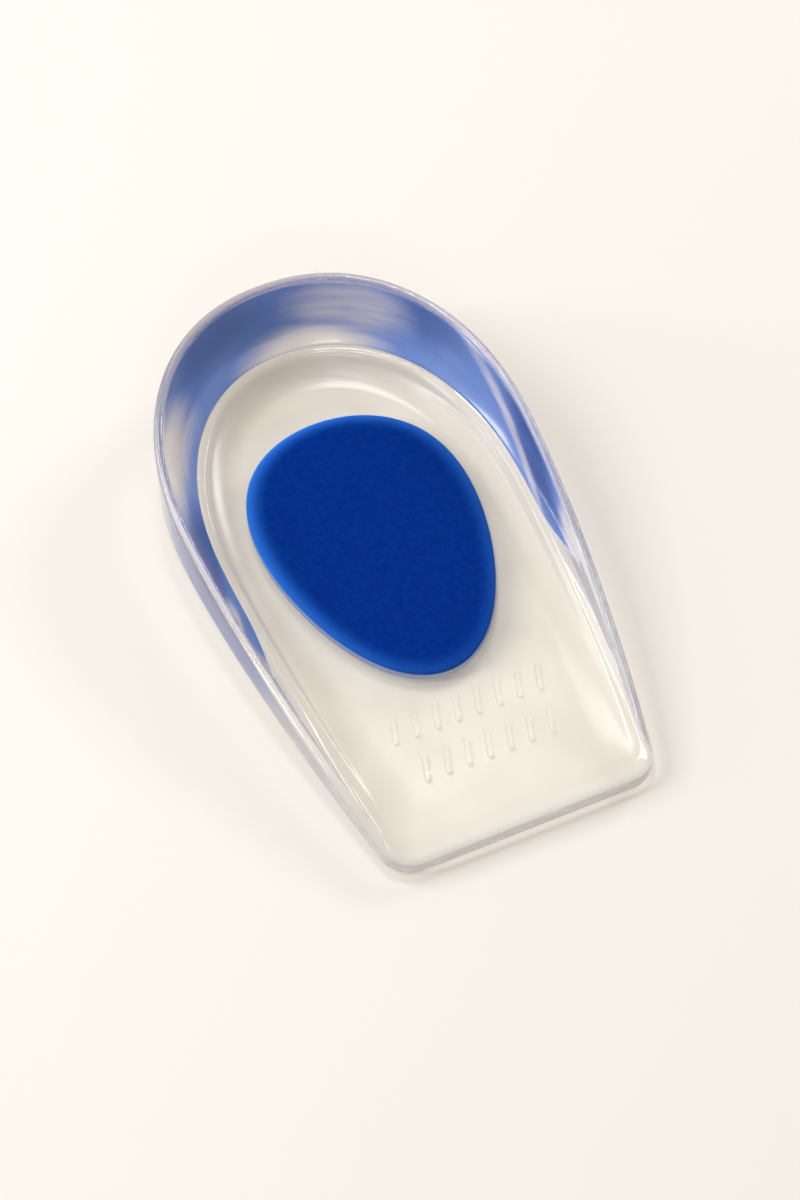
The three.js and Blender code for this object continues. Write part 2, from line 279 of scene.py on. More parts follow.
def tapered_half(plan, y):
    """Half width in front of the widest place: it eases by a power from the widest to the front width."""
    share = np.clip((plan["widest"] - y) / (plan["widest"] - plan["front"]), 0, 1)
    return lerp(plan["half"], plan["front_half"], share**SIDE_TAPER_POWER)


def outline(plan):
    """Points once round a plan from the middle of the front edge past +X, the heel and -X.

    The front is straight, the corners are quarter arcs, the sides follow tapered_half, and the heel is half
    a superellipse: x = half cos(t)^(2/n), y = widest + depth sin(t)^(2/n). The left mirrors the right.
    """
    front = np.linspace(0, 1, FRONT_STEPS, endpoint=False)
    corner = np.linspace(0, QUARTER, CORNER_STEPS, endpoint=False)
    side = np.linspace(0, 1, SIDE_STEPS, endpoint=False) ** SIDE_CROWDING
    heel = np.linspace(0, QUARTER, HEEL_STEPS + 1)
    corner_start = tapered_half(plan, plan["front"]) - plan["corner"]
    corner_y = plan["front"] + plan["corner"] * (1 - np.cos(corner))
    side_y = lerp(plan["front"] + plan["corner"], plan["widest"], side)
    heel_y = lerp(plan["widest"], plan["back"], np.sin(heel) ** (2 / HEEL_ROUNDNESS))
    x = np.concatenate([
        corner_start * front,
        tapered_half(plan, corner_y) - plan["corner"] * (1 - np.sin(corner)),
        tapered_half(plan, side_y),
        plan["half"] * np.maximum(np.cos(heel), 0) ** (2 / HEEL_ROUNDNESS),
    ])
    y = np.concatenate([np.full(FRONT_STEPS, plan["front"]), corner_y, side_y, heel_y])
    right = np.stack([x, y], axis=1)
    left = right[1:-1][::-1] * [-1, 1]
    return np.concatenate([right, left])


RIM_OUTSIDE = outline(RIM_PLAN)
RIM_CREST = outline(drawn_in(RIM_PLAN, RIM_RADIUS))
BED_EDGE = outline(BED_PLAN)
BED_FLOOR = outline(drawn_in(BED_PLAN, BED_SLOPE_WIDTH))
STATIONS = len(BED_EDGE)


def round_share():
    """Each station's share of the way round the bed's edge, from the middle of the front past +X."""
    step = np.linalg.norm(np.roll(BED_EDGE, -1, axis=0) - BED_EDGE, axis=1)
    return np.concatenate([[0], np.cumsum(step)]) / step.sum()


ROUND_SHARE = round_share()

# Angle of the wall's inside above the ground, at each station round the cup
WALL_SLOPE = np.arctan2(
    rim_height(RIM_CREST[:, 1]) - bed_edge_height(BED_EDGE[:, 1]),
    np.hypot(*(RIM_CREST - BED_EDGE).T),
)


def rim_ring(turn):
    """The rim's round: a quarter circle outside the crest, carried on past it; turn 0 is the outside."""
    plan = lerp(RIM_CREST, RIM_OUTSIDE, np.cos(turn)[:, None])
    return np.column_stack([plan, rim_height(plan[:, 1]) - RIM_RADIUS * (1 - np.sin(turn))])


def wall_inward():
    """Unit vectors square to the wall's inside: level by the sine of its slope and up by the cosine."""
    level = BED_EDGE - RIM_CREST
    level = level / np.linalg.norm(level, axis=1)[:, None] * np.sin(WALL_SLOPE)[:, None]
    return np.column_stack([level, np.cos(WALL_SLOPE)])


WALL_INWARD = wall_inward()
WALL_TOP = rim_ring(QUARTER + WALL_SLOPE)
WALL_LOW = np.column_stack([
    BED_EDGE,
    bed_edge_height(BED_EDGE[:, 1]) - CREASE_DEPTH * climb(BED_EDGE[:, 1], ROLL_CLIMB),
])
WALL_LENGTH = np.linalg.norm(WALL_TOP - WALL_LOW, axis=1)


def wall_ring(share, depth=0.0):
    """The wall's inside at a share of its way up: a chord, bowed back by 4s(1-s), and sunk by a depth."""
    share = np.broadcast_to(share, (STATIONS,))
    back = WALL_BOW * 4 * share * (1 - share) * np.sin(WALL_SLOPE) + depth
    return lerp(WALL_LOW, WALL_TOP, share[:, None]) - WALL_INWARD * back[:, None]


def lining_fullness(y):
    """0 at the lining's tips and 1 where it is full, by 1 - (1 - s)^2."""
    return 1 - (1 - np.clip((y - LINING_TIP_Y) / LINING_TAPER_LENGTH, 0, 1)) ** 2


def lining_share(across, y, wall_length):
    """Share of the wall at a place across the lining, 0 its low edge and 1 its high one."""
    margin = np.minimum(LINING_MARGIN / wall_length, LINING_MOST_MARGIN_SHARE)
    tip = LINING_TIP_SHARE + (across - 0.5) * LINING_TIP_WIDTH / wall_length
    return lerp(tip, lerp(margin, 1 - margin, across), lining_fullness(y))


def lining_depth(y):
    """The lining's thickness, from its tip's to its full one."""
    return lerp(LINING_TIP_THICKNESS, LINING_THICKNESS, lining_fullness(y))


def patches(table, around, up):
    """The strongest of a table's soft patches, each falling off as smooth(fullness (1 - distance))."""
    strongest = np.zeros(np.broadcast(around, up).shape)
    for patch in table:
        middle = patch["round"] + patch["lean"] * (up - patch["up"])
        away = np.hypot((around - middle) / patch["reach"], (up - patch["up"]) / patch["height"])
        strongest = np.maximum(strongest, patch["strength"] * smooth(PATCH_FULLNESS * (1 - away)))
    return strongest


def egg_ring(grown, above_floor, turn):
    """The pad's plan: x = a cos(t) (1 + egg sin(t) + fullness sin(t)^2), y = b sin(t), over the floor."""
    across = np.cos(turn)
    along = np.sin(turn)
    x = (PAD_WIDTH / 2 + grown) * across * (1 + PAD_EGG * along + PAD_FULLNESS * along**2)
    y = PAD_Y + (PAD_LENGTH / 2 + grown) * along
    return np.column_stack([x, y, floor_height(y) + above_floor])


def relief(x, y):
    """Height of the ribs on the floor, each smooth((foot - distance) / edge) from its own middle line.

    The distance is a share of the rib's half width, and foot is how far the rib reaches in that share.
    """
    height = np.zeros_like(x)
    half = (RIB_LENGTH - RIB_WIDTH) / 2
    rows = [(BACK_ROW_FROM_FRONT, BACK_ROW_COUNT), (FRONT_ROW_FROM_FRONT, FRONT_ROW_COUNT)]
    for from_front, count in rows:
        for i in range(count):
            dx = x - (i - (count - 1) / 2) * RIB_PITCH
            dy = y - (FRONT_Y + from_front)
            along = dx * math.sin(RIB_LEAN) + dy * math.cos(RIB_LEAN)
            across = dx * math.cos(RIB_LEAN) - dy * math.sin(RIB_LEAN)
            away = np.hypot(across, np.maximum(np.abs(along) - half, 0)) / (RIB_WIDTH / 2)
            height = np.maximum(height, RIB_HEIGHT * smooth((RIB_FOOT - away) / RIB_EDGE))
    return height


def slope_height(y, share):
    """The dished slope falls from the bed's edge to the floor by 1 - (1 - s)^2."""
    return lerp(bed_edge_height(y), floor_height(y), 1 - (1 - share) ** 2)


def foot_rings():
    """The lower outside edge: a quarter arc from the flat underside up to the outside wall."""
    inside = outline(drawn_in(RIM_PLAN, HEEL_FOOT_RADIUS))
    rings = []
    for turn in np.linspace(0, QUARTER, FOOT_RINGS):
        part = foot_radius(RIM_OUTSIDE[:, 1]) / HEEL_FOOT_RADIUS
        plan = lerp(inside, RIM_OUTSIDE, (1 - part * (1 - math.sin(turn)))[:, None])
        rings.append(np.column_stack([plan, foot_radius(plan[:, 1]) * (1 - math.cos(turn))]))
    return rings


def outside_rings():
    """The outside wall between its foot and its rim, straight up."""
    low = foot_radius(RIM_OUTSIDE[:, 1])
    high = rim_ring(np.zeros(STATIONS))[:, 2]
    return [np.column_stack([RIM_OUTSIDE, lerp(low, high, share)]) for share in OUTSIDE_HOLDS]


def inside_rings():
    """The wall's inside from the rim down to the crease, with the lining's pocket sunk into it."""
    y = BED_EDGE[:, 1]
    sunk = np.where(y >= LINING_TIP_Y, lining_depth(y) - BOND, 0)
    high_edge = lining_share(1, y, WALL_LENGTH)
    low_edge = lining_share(0, y, WALL_LENGTH)
    rings = [wall_ring(lerp(1, high_edge, share)) for share in ABOVE_POCKET_HOLDS]
    rings += [wall_ring(high_edge, sunk * deep) for deep in POCKET_SIDE_HOLDS]
    rings += [
        wall_ring(lining_share(across, y, WALL_LENGTH), sunk)
        for across in np.linspace(1 - BOND, BOND, POCKET_RINGS)
    ]
    rings += [wall_ring(low_edge, sunk * deep) for deep in reversed(POCKET_SIDE_HOLDS)]
    rings += [wall_ring(lerp(low_edge, 0, share)) for share in BELOW_POCKET_HOLDS]
    return rings


def bed_rings():
    """The bed from its crease over the soft roll and down the dished slope to the flat floor.

    The roll adds its height times sin^2(pi s) and takes off the crease's depth times (1 - s)^4.
    """
    rings = []
    for across in np.concatenate([[0, CREASE_HOLD], np.linspace(0, 1, ROLL_RINGS)[1:]]):
        share = across * ROLL_WIDTH / BED_SLOPE_WIDTH
        plan = lerp(BED_EDGE, BED_FLOOR, share)
        roll = ROLL_HEIGHT * math.sin(across * math.pi) ** 2 - CREASE_DEPTH * (1 - across) ** 4
        height = slope_height(plan[:, 1], share) + roll * climb(plan[:, 1], ROLL_CLIMB)
        rings.append(np.column_stack([plan, height]))
    for share in np.linspace(ROLL_WIDTH / BED_SLOPE_WIDTH, 1, SLOPE_RINGS)[1:]:
        plan = lerp(BED_EDGE, BED_FLOOR, share)
        rings.append(np.column_stack([plan, slope_height(plan[:, 1], share)]))
    return rings


def floor_rings():
    """The flat floor drawn in from its outline to the pad's seat, then the seat's side and bottom."""
    turn = np.arctan2((BED_FLOOR[:, 1] - PAD_Y) / (PAD_LENGTH / 2), BED_FLOOR[:, 0] / (PAD_WIDTH / 2))
    seat = egg_ring(-BOND, 0, turn)
    rings = []
    for share in np.linspace(0, 1, FLOOR_RINGS)[1:]:
        plan = lerp(BED_FLOOR, seat[:, :2], share)
        rings.append(np.column_stack([plan, floor_height(plan[:, 1]) + relief(plan[:, 0], plan[:, 1])]))
    rings += [egg_ring(-BOND, -PAD_SEAT_DEPTH * deep + BOND, turn) for deep in SEAT_SIDE_HOLDS]
    rings.append(egg_ring(-PAD_EDGE_RADIUS, -PAD_SEAT_DEPTH + BOND, turn))
    return rings


def closed_mesh(name, rings):
    """A closed body through rings of equal counts, with a fan over its first ring and its last."""
    points = np.array(rings)
    ring_count, count, _ = points.shape
    middles = points[[0, -1]].mean(axis=1)
    r, i = np.meshgrid(np.arange(ring_count - 1), np.arange(count), indexing="ij")
    a = (r * count + i).ravel()
    b = (r * count + (i + 1) % count).ravel()
    quads = np.stack([a, b, b + count, a + count], axis=1)
    first = np.arange(count)
    after = (first + 1) % count
    last = (ring_count - 1) * count
    under = np.full(count, ring_count * count)
    fans = np.concatenate([
        np.stack([after, first, under], axis=1),
        np.stack([last + first, last + after, under + 1], axis=1),
    ])
    mesh = bpy.data.meshes.new(name)
    places = np.concatenate([points.reshape(-1, 3), middles]) * MM
    mesh.from_pydata(places.tolist(), [], quads.tolist() + fans.tolist())
    mesh.polygons.foreach_set("use_smooth", np.ones(len(mesh.polygons), dtype=bool))
    mesh.update()
    piece = bpy.data.objects.new(name, mesh)
    bpy.context.scene.collection.objects.link(piece)
    return piece


def add_attribute(piece, name, ring_values, first, last):
    """A float on each point of a closed mesh, given ring by ring, with one for each of its two middles."""
    values = np.concatenate([np.array(ring_values).ravel(), [first, last]]).astype(np.float32)
    attribute = piece.data.attributes.new(name, "FLOAT", "POINT")
    attribute.data.foreach_set("value", values)


def make_cup():
    """The clear gel body, in rings from the underside over the outside, the rim and the wall to the bed."""
    foot = foot_rings()
    outside = outside_rings()
    rim = [rim_ring(share * (QUARTER + WALL_SLOPE)) for share in np.linspace(0, 1, RIM_RINGS)]
    inside = inside_rings()
    bed = bed_rings() + floor_rings()
    piece = closed_mesh("gel_cup", foot + outside + rim + inside + bed)
    add_cup_attributes(piece, foot, outside, rim, inside, bed)
    return piece


def add_cup_attributes(piece, foot, outside, rim, inside, bed):
    """Floats for the material, each a share for every ring times a share for every station round the cup.

    blue_seen_through is painted blue of the lining seen through the clear gel: it grows up the outside to
    the rim and fades over it to the crest, where it leaves a painted pale line, and is less at the front.
    blue_inside grows from the crest to the lining's high edge, behind the lining's tips.
    lying is 1 on the underside and the bed, outer is 1 on the outside wall and the rim, and bonded is 1 in
    the lining's pocket.
    hollow_shade is painted shade in the dished slope: it rises and falls over the slope by a sine, times
    the bed's climb.
    satin rises from the crease to 1 halfway down the slope, and eases to its share on the flat floor.
    rib_side_shade is painted shade on the ribs' sides: 4h(1 - h) of the share h of a rib's height, so it is
    1 halfway up the ribs' sides.
    """
    before_rim = len(foot) + len(outside)
    before_pocket = before_rim + len(rim) + POCKET_START
    before_bed = before_rim + len(rim) + len(inside)
    after_pocket = before_bed + len(bed) - before_pocket - POCKET_LENGTH
    flat_rings = len(bed) - SLOPE_END
    over_rim = np.linspace(0, 1, len(rim))
    down_slope = np.linspace(0, 1, SLOPE_END)
    everywhere = np.ones(STATIONS)
    past_start = smooth((RIM_OUTSIDE[:, 1] - FRONT_Y - SEEN_BLUE_START_FROM_FRONT) / LINING_TAPER_LENGTH)

    # Painted blue of the lining seen through the gel, deepest on the rim's outside and pale on its crest
    seen_blue = np.concatenate([
        np.linspace(0, SEEN_BLUE_AT_FOOT, len(foot)),
        np.linspace(SEEN_BLUE_AT_FOOT, 1, len(outside)),
        lerp(1, SEEN_BLUE_ON_CREST, smooth(over_rim / CREST_SHARE)),
        np.zeros(len(inside) + len(bed)),
    ])
    inner_blue = np.concatenate([
        np.zeros(before_rim),
        smooth((over_rim - CREST_SHARE) / (1 - CREST_SHARE) * INNER_BLUE_RISE),
        np.ones(POCKET_START),
        np.zeros(len(inside) - POCKET_START + len(bed)),
    ])
    lying_foot = len(foot) - FOOT_UPRIGHT_RINGS
    lying = np.repeat([1, 0, 1], [lying_foot, before_bed - lying_foot, len(bed)])
    outer = np.repeat([0, 1, 0], [len(foot), len(outside) + len(rim), len(inside) + len(bed)])
    hollow_shade = np.concatenate([np.zeros(before_bed), np.sin(math.pi * down_slope), np.zeros(flat_rings)])
    satin = np.concatenate([
        np.zeros(before_bed),
        smooth(2 * down_slope) * lerp(1, FLOOR_SATIN, smooth(2 * down_slope - 1)),
        np.full(flat_rings, FLOOR_SATIN),
    ])
    bonded = np.repeat([0, 1, 0], [before_pocket, POCKET_LENGTH, after_pocket])

    shares = [
        ("blue_seen_through", seen_blue, lerp(SEEN_BLUE_AT_FRONT, 1, past_start)),
        ("blue_inside", inner_blue, smooth((BED_EDGE[:, 1] - LINING_TIP_Y) / LINING_TAPER_LENGTH)),
        ("lying", lying, everywhere),
        ("outer", outer, everywhere),
        ("hollow_shade", hollow_shade, climb(BED_EDGE[:, 1], BED_CLIMB)),
        ("satin", satin, everywhere),
        ("bonded", bonded, BED_EDGE[:, 1] >= LINING_TIP_Y),
    ]
    for name, by_ring, by_station in shares:
        add_attribute(piece, name, by_ring[:, None] * by_station, by_ring[0], by_ring[-1])
    bed_points = np.array(bed)
    rise = relief(bed_points[..., 0], bed_points[..., 1]) / RIB_HEIGHT
    off_the_bed = np.zeros((before_bed, STATIONS))
    add_attribute(piece, "rib_side_shade", np.concatenate([off_the_bed, 4 * rise * (1 - rise)]), 0, 0)


def at_station(values, station):
    """Rows of values at stations with a fraction, by a straight line between the two rows beside each."""
    low = np.floor(station).astype(int) % len(values)
    high = np.ceil(station).astype(int) % len(values)
    part = (station - np.floor(station))[:, None]
    return lerp(values[low], values[high], part)


def lining_stations():
    """Stations from one tip round the heel to the other, the first and last exactly at the tips."""
    right = BED_EDGE[: STATIONS // 2, 1]
    after = int(np.argmax(right > LINING_TIP_Y))
    first = after - 1 + (LINING_TIP_Y - right[after - 1]) / (right[after] - right[after - 1])
    return np.concatenate([[first], np.arange(after, STATIONS - after + 1), [STATIONS - first]])


def lining_profile(steps):
    """A loop round the lining's section: places across it, and shares of its depth, with eased corners."""
    edge = LINING_EDGE_ROUND
    face = np.linspace(LINING_FACE_START, 1 - LINING_FACE_START, steps)
    across = np.concatenate([face, [1, 1, face[-1]], face[::-1][1:-1], [face[0], 0, 0]])
    deep = np.concatenate([np.zeros(steps), [edge, 1 - edge, 1], np.ones(steps - 2), [1, 1 - edge, edge]])
    return across, deep


def make_lining(steps=25):
    """The blue lining: its section carried round the wall's inside from tip to tip.

    bonded is 1 where it lies against the clear gel. round_the_cup, up_the_wall and fullness are its own
    shares, pale holds its painted reflections and highlights, and deep its darker blue patches.
    """
    station = lining_stations()
    low = at_station(WALL_LOW, station)
    top = at_station(WALL_TOP, station)
    inward = at_station(WALL_INWARD, station)
    inward = inward / np.linalg.norm(inward, axis=1)[:, None]
    slope = at_station(WALL_SLOPE[:, None], station)[:, 0]
    length = np.linalg.norm(top - low, axis=1)
    y = at_station(BED_EDGE, station)[:, 1]
    across, deep = lining_profile(steps)
    share = lining_share(across[None, :], y[:, None], length[:, None])
    back = WALL_BOW * 4 * share * (1 - share) * np.sin(slope)[:, None] + deep * lining_depth(y)[:, None]
    rings = low[:, None] + (top - low)[:, None] * share[..., None] - inward[:, None] * back[..., None]
    piece = closed_mesh("wall_lining_gel", rings)
    round_the_cup = np.interp(station, np.arange(STATIONS + 1), ROUND_SHARE)
    round_the_cup = np.broadcast_to(round_the_cup[:, None], share.shape)
    fullness = np.broadcast_to(lining_fullness(y)[:, None], share.shape)
    bonded = np.broadcast_to((deep > 0)[None, :], share.shape)
    add_attribute(piece, "bonded", bonded, 1, 1)
    add_attribute(piece, "round_the_cup", round_the_cup, round_the_cup[0, 0], round_the_cup[-1, 0])
    add_attribute(piece, "up_the_wall", share, LINING_TIP_SHARE, LINING_TIP_SHARE)
    add_attribute(piece, "fullness", fullness, 0, 0)
    add_attribute(piece, "pale", patches(PALE_REFLECTION_PATCHES, round_the_cup, share), 0, 0)
    add_attribute(piece, "deep", patches(DEEP_PATCHES, round_the_cup, share), 0, 0)
    return piece


def make_pad(steps=256, edge_rings=12, crown_rings=26):
    """The blue pad: an egg in plan, with an edge of a quarter ellipse and a low crown of 1 - (1 - s)^2.

    pad_edge_highlight, a painted highlight, falls off from the edge as (1 - s)^2, times a cosine of the way
    round.
    """
    turn = np.linspace(0, 2 * math.pi, steps, endpoint=False)
    rings = [egg_ring(-inset, -PAD_SEAT_DEPTH, turn) for inset in (PAD_EDGE_RADIUS, PAD_BOTTOM_ROUND)]
    rings += [egg_ring(0, -PAD_SEAT_DEPTH * deep, turn) for deep in PAD_SIDE_HOLDS]
    from_edge = [np.zeros(steps)] * len(rings)
    for angle in np.linspace(0, QUARTER, edge_rings):
        grown = -PAD_EDGE_WIDTH * (1 - math.cos(angle))
        rings.append(egg_ring(grown, PAD_PROUD - PAD_EDGE_RADIUS * (1 - math.sin(angle)), turn))
        from_edge.append(np.full(steps, -grown))
    reach = PAD_WIDTH / 2 - PAD_EDGE_WIDTH
    for share in np.linspace(0, 1, crown_rings)[1:-1]:
        over_floor = PAD_PROUD + PAD_CROWN * (1 - (1 - share) ** 2)
        rings.append(egg_ring(-PAD_EDGE_WIDTH - reach * share, over_floor, turn))
        from_edge.append(np.full(steps, PAD_EDGE_WIDTH + reach * share))
    piece = closed_mesh("heel_pad_gel", rings)
    away = np.minimum(np.array(from_edge) / EDGE_HIGHLIGHT_WIDTH, 1)
    facing = lerp(EDGE_HIGHLIGHT_LEAST, 1, (1 + np.cos(turn - EDGE_HIGHLIGHT_TURN)) / 2)
    add_attribute(piece, "pad_edge_highlight", facing * (1 - away) ** 2, 0, 0)
    return piece


# Materials, with their colours in linear light

GEL_IOR = 1.41

# The clear gel by its place, and how much rougher it is where it is satin
# Whiter on the upright faces than on the bed: painted light that brightens the thin walls. The bed keeps
# the gel's own warm tone
UPRIGHT_PAINTED_LIGHT_TINT = (0.99, 0.99, 0.985, 1)
BED_TINTS = [(0.955, 0.935, 0.88, 1), (0.985, 0.965, 0.91, 1)]
# Painted shade in the dished slope round the floor
HOLLOW_SHADE_TINT = (0.78, 0.75, 0.7, 1)
# Painted shade on the ribs' sides, so that their relief shows
RIB_SIDE_SHADE_TINT = (0.76, 0.74, 0.695, 1)
# Painted blue of the lining seen through the clear gel, on its outside and rim
SEEN_BLUE_TINT = (0.31, 0.33, 0.6, 1)
INNER_BLUE_TINT = (0.5, 0.52, 0.86, 1)
SATIN_ROUGHNESS = 0.175

# What the light on the floor keeps of its colour when it passes a face of the gel
SHADE_INSIDE = (0.935, 0.915, 0.89, 1)
SHADE_OUTSIDE = (0.34, 0.3, 0.235, 1)
SHADE_LINING = (0.84, 0.87, 0.96, 1)

# The blue lining
LINING_BLUES = [(0.095, 0.21, 0.63, 1), (0.14, 0.26, 0.71, 1)]
LINING_DEEP = (0.025, 0.075, 0.34, 1)
# The cream of the lining's painted reflections and highlights
LINING_REFLECTION_CREAM = (1.0, 0.92, 0.84, 1)
LINING_THIN = (0.9, 0.9, 0.92, 1)
STREAKS_ROUND = 30.0
STREAKS_UP = 9.0
STREAK_STRENGTH = 0.7

# The blue pad
PAD_BLUES = [(0.0004, 0.022, 0.2, 1), (0.0006, 0.029, 0.235, 1)]
# The brighter blue of the painted highlight on the pad's edge
PAD_EDGE_HIGHLIGHT_BLUE = (0.03, 0.2, 0.84, 1)


class Nodes:
    """A node tree with short calls for adding nodes and joining sockets."""

    def __init__(self, tree):
        """The tree is a material's own or a node group's."""
        self.tree = tree

    def add(self, kind, inputs=None, **settings):
        """A node with its settings, and each named input fed from a socket or set to a value."""
        node = self.tree.nodes.new(kind)
        for key, value in settings.items():
            setattr(node, key, value)
        for key, value in (inputs or {}).items():
            self.feed(node.inputs[key], value)
        return node

    def feed(self, socket, value):
        """Join another node's socket to an input, or set the input to a value."""
        if isinstance(value, bpy.types.NodeSocket):
            self.tree.links.new(value, socket)
        else:
            socket.default_value = value

    def math(self, operation, *values, clamp=False):
        """One step of arithmetic on sockets and numbers, held between 0 and 1 if clamped."""
        node = self.add("ShaderNodeMath", operation=operation, use_clamp=clamp)
        for socket, value in zip(node.inputs, values):
            self.feed(socket, value)
        return node.outputs[0]

    def mix(self, factor, a, b):
        """The colour a share of the way from a to b, by the node's own colour sockets 6, 7 and 2."""
        node = self.add("ShaderNodeMix", data_type="RGBA")
        self.feed(node.inputs[0], factor)
        self.feed(node.inputs[6], a)
        self.feed(node.inputs[7], b)
        return node.outputs[2]

    def ramp(self, value, low, high):
        """0 at low and 1 at high, eased between them."""
        node = self.add("ShaderNodeMapRange", interpolation_type="SMOOTHSTEP")
        for socket, given in zip(node.inputs, (value, low, high, 0.0, 1.0)):
            self.feed(socket, given)
        return node.outputs[0]

    def attribute(self, name):
        """A float that the piece's own mesh carries."""
        return self.add("ShaderNodeAttribute", attribute_name=name).outputs["Fac"]


def new_material(name):
    """An empty material and its nodes."""
    material = bpy.data.materials.new(name)
    material.use_nodes = True
    material.node_tree.nodes.clear()
    return material, Nodes(material.node_tree)


def moulded_gel_group():
    """Cast gel's slow clouds and fine surface waves: a mask, a roughness and a normal from its place."""
    group = bpy.data.node_groups.new("moulded gel surface", "ShaderNodeTree")
    sockets = [
        ("Cloud Size", "INPUT", "NodeSocketFloat", 0.012),
        ("Wave Size", "INPUT", "NodeSocketFloat", 0.004),
        ("Wave Height", "INPUT", "NodeSocketFloat", 0.00002),
        ("Roughness Low", "INPUT", "NodeSocketFloat", 0.04),
        ("Roughness High", "INPUT", "NodeSocketFloat", 0.12),
        ("Clouds", "OUTPUT", "NodeSocketFloat", None),
        ("Roughness", "OUTPUT", "NodeSocketFloat", None),
        ("Normal", "OUTPUT", "NodeSocketVector", None),
    ]
    for name, direction, kind, default in sockets:
        socket = group.interface.new_socket(name, in_out=direction, socket_type=kind)
        if default is not None:
            socket.default_value = default
    nodes = Nodes(group)
    given = nodes.add("NodeGroupInput").outputs
    place = nodes.add("ShaderNodeTexCoord").outputs["Object"]
    cloud_scale = nodes.math("DIVIDE", 1.0, given["Cloud Size"])
    wave_scale = nodes.math("DIVIDE", 1.0, given["Wave Size"])
    clouds = nodes.add("ShaderNodeTexNoise", {"Vector": place, "Scale": cloud_scale, "Detail": 2.0})
    waves = nodes.add("ShaderNodeTexNoise", {"Vector": place, "Scale": wave_scale, "Detail": 1.0})
    mask = nodes.ramp(clouds.outputs["Fac"], 0.3, 0.7)
    bump = nodes.add("ShaderNodeBump", {"Height": waves.outputs["Fac"], "Distance": given["Wave Height"]})
    spread = nodes.math("SUBTRACT", given["Roughness High"], given["Roughness Low"])
    roughness = nodes.math("MULTIPLY_ADD", mask, spread, given["Roughness Low"])
    out = nodes.add("NodeGroupOutput")
    nodes.feed(out.inputs["Clouds"], mask)
    nodes.feed(out.inputs["Roughness"], roughness)
    nodes.feed(out.inputs["Normal"], bump.outputs["Normal"])
    return group


MOULDED_GEL = moulded_gel_group()


def gel_surface(nodes, **values):
    """The moulded gel group placed in a material, with its own values by the inputs' names."""
    group = nodes.add("ShaderNodeGroup", node_tree=MOULDED_GEL)
    for name, value in values.items():
        group.inputs[name.replace("_", " ").title()].default_value = value
    return group.outputs


def let_light_through(nodes, surface, colour):
    """Light bends at the outer faces alone: where one gel is bonded to the other, it passes straight.

    Shadow rays and light gathered by the matt floor also pass straight and take the gel's colour, so that
    its shadow stays soft and even.
    """
    bonded = nodes.attribute("bonded")
    path = nodes.add("ShaderNodeLightPath").outputs
    straight = nodes.math("MAXIMUM", path["Is Shadow Ray"], path["Is Diffuse Ray"])
    passed = nodes.mix(bonded, colour, (1, 1, 1, 1))
    clear = nodes.add("ShaderNodeBsdfTransparent", {"Color": passed})
    mixed = nodes.add("ShaderNodeMixShader")
    nodes.feed(mixed.inputs[0], nodes.math("MAXIMUM", straight, bonded))
    nodes.feed(mixed.inputs[1], surface.outputs[0])
    nodes.feed(mixed.inputs[2], clear.outputs[0])
    nodes.add("ShaderNodeOutputMaterial", {"Surface": mixed.outputs[0]})


def clear_gel():
    """Clear silicone with a milky warmth and slow clouds, glossy on the wall and satin on the bed."""
    material, nodes = new_material("clear silicone gel")
    gel = gel_surface(nodes, roughness_low=0.035, roughness_high=0.075, wave_height=0.000004)
    lying = nodes.attribute("lying")
    bed = nodes.mix(gel["Clouds"], *BED_TINTS)
    # Painted shade in the dished slope
    hollow_shade = nodes.mix(nodes.attribute("hollow_shade"), bed, HOLLOW_SHADE_TINT)
    # Painted shade on the ribs' sides
    ribbed = nodes.mix(nodes.attribute("rib_side_shade"), hollow_shade, RIB_SIDE_SHADE_TINT)
    # The upright faces are whiter, painted light that brightens the thin walls
    clear = nodes.mix(lying, UPRIGHT_PAINTED_LIGHT_TINT, ribbed)
    # Painted blue of the lining seen through the gel, on the outside and the rim
    with_seen_blue = nodes.mix(nodes.attribute("blue_seen_through"), clear, SEEN_BLUE_TINT)
    colour = nodes.mix(nodes.attribute("blue_inside"), with_seen_blue, INNER_BLUE_TINT)
    shade = nodes.mix(nodes.attribute("outer"), SHADE_INSIDE, SHADE_OUTSIDE)
    roughness = nodes.math("MULTIPLY_ADD", nodes.attribute("satin"), SATIN_ROUGHNESS, gel["Roughness"])
    surface = nodes.add("ShaderNodeBsdfPrincipled", {
        "Base Color": colour,
        "Roughness": roughness,
        "Normal": gel["Normal"],
        "IOR": GEL_IOR,
        "Transmission Weight": 0.77,
    })
    let_light_through(nodes, surface, shade)
    return material


def lining_streaks(nodes):
    """Fine streaks that run round the cup, from noise over the lining's own two shares."""
    place = nodes.add("ShaderNodeCombineXYZ")
    nodes.feed(place.inputs[0], nodes.math("MULTIPLY", nodes.attribute("round_the_cup"), STREAKS_ROUND))
    nodes.feed(place.inputs[1], nodes.math("MULTIPLY", nodes.attribute("up_the_wall"), STREAKS_UP))
    noise = nodes.add("ShaderNodeTexNoise", {"Vector": place.outputs[0], "Scale": 1.0, "Detail": 3.0})
    return noise.outputs["Fac"]


